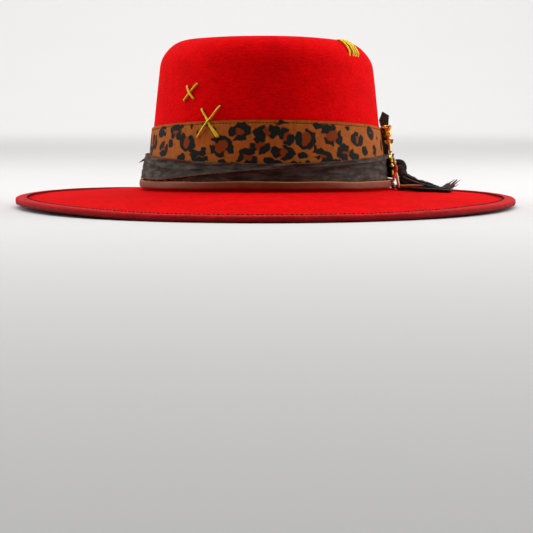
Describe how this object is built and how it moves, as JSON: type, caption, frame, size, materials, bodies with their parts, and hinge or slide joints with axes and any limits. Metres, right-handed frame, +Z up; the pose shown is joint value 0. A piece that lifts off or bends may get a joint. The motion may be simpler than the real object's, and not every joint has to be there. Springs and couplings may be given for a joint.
{
  "type": "wide-brimmed felt hat",
  "caption": "Red felt hat with a flat brim and flat crown, a printed band, a wound scarf, a leather lace and a side bundle with a rose pin and swinging charms.",
  "frame": {"origin": "middle of the head opening, on the level plane that the brim's edge rests on", "axes": "+Z up through the crown, +Y towards the back of the hat, -Y the front, +X the wearer's left"},
  "size_m": [0.3594, 0.3936, 0.1212],
  "materials": {
    "red_felt": "brushed wool felt",
    "red_binding": "ribbed ribbon, dull",
    "maroon_thread": "sewing thread",
    "leopard_print": "printed cloth with dark rosettes",
    "rust_thread": "sewing thread",
    "charcoal_scarf": "thin wrinkled cotton",
    "dark_cloth": "thin dark cloth",
    "brown_leather": "rounded strap, semi-gloss",
    "gold_metal": "polished gold plate",
    "black_cord": "waxed cord",
    "coral": "polished orange-red coral",
    "cream_bone": "bone or horn",
    "silver_metal": "polished",
    "black_glass": "polished black glass or onyx",
    "gold_cord": "twisted metallic cord",
    "tan_leather": "smooth sweatband leather",
    "pale_thread": "sewing thread",
    "black_satin": "satin lining"
  },
  "bodies": {
    "hat": {"felt_body": "red_felt", "brim_binding": "red_binding", "binding_thread": "maroon_thread", "printed_band": "leopard_print", "band_thread": "rust_thread", "scarf_inner_turn": "charcoal_scarf", "scarf_outer_turn": "charcoal_scarf", "scarf_knot": "charcoal_scarf", "scarf_tail_upper": "charcoal_scarf", "scarf_tail_lower": "charcoal_scarf", "scarf_stub": "dark_cloth", "leather_lace": "brown_leather", "lace_end": "brown_leather", "pin_lashing": "black_cord", "charm_thread": "black_cord", "quill": "cream_bone", "gold_cross_small": "gold_cord", "gold_cross_large": "gold_cord", "gold_bars": "gold_cord", "sweatband": "tan_leather", "sweatband_thread": "pale_thread", "sweatband_reed": "tan_leather", "sweatband_bow": "black_cord", "lining_side": "black_satin", "lining_top": "black_satin"},
    "rose_pin": {"rose_bloom": "gold_metal", "rose_stem": "gold_metal"},
    "charm_drop": {"cream_tip": "cream_bone", "coral_branch": "coral", "silver_bead": "silver_metal", "black_bead": "black_glass"}
  },
  "joints": [
    {"name": "rose_pin_slide", "type": "slide", "parent": "hat", "child": "rose_pin", "axis": [-0.1037, 0.0127, 0.9945], "range_m": [0, 0.007]},
    {"name": "charm_swing", "type": "hinge", "parent": "hat", "child": "charm_drop", "pos_m": [0.09352, -0.01787, 0.03135], "axis": [0.9925, -0.1219, 0], "range_deg": [-14, 4]}
  ]
}
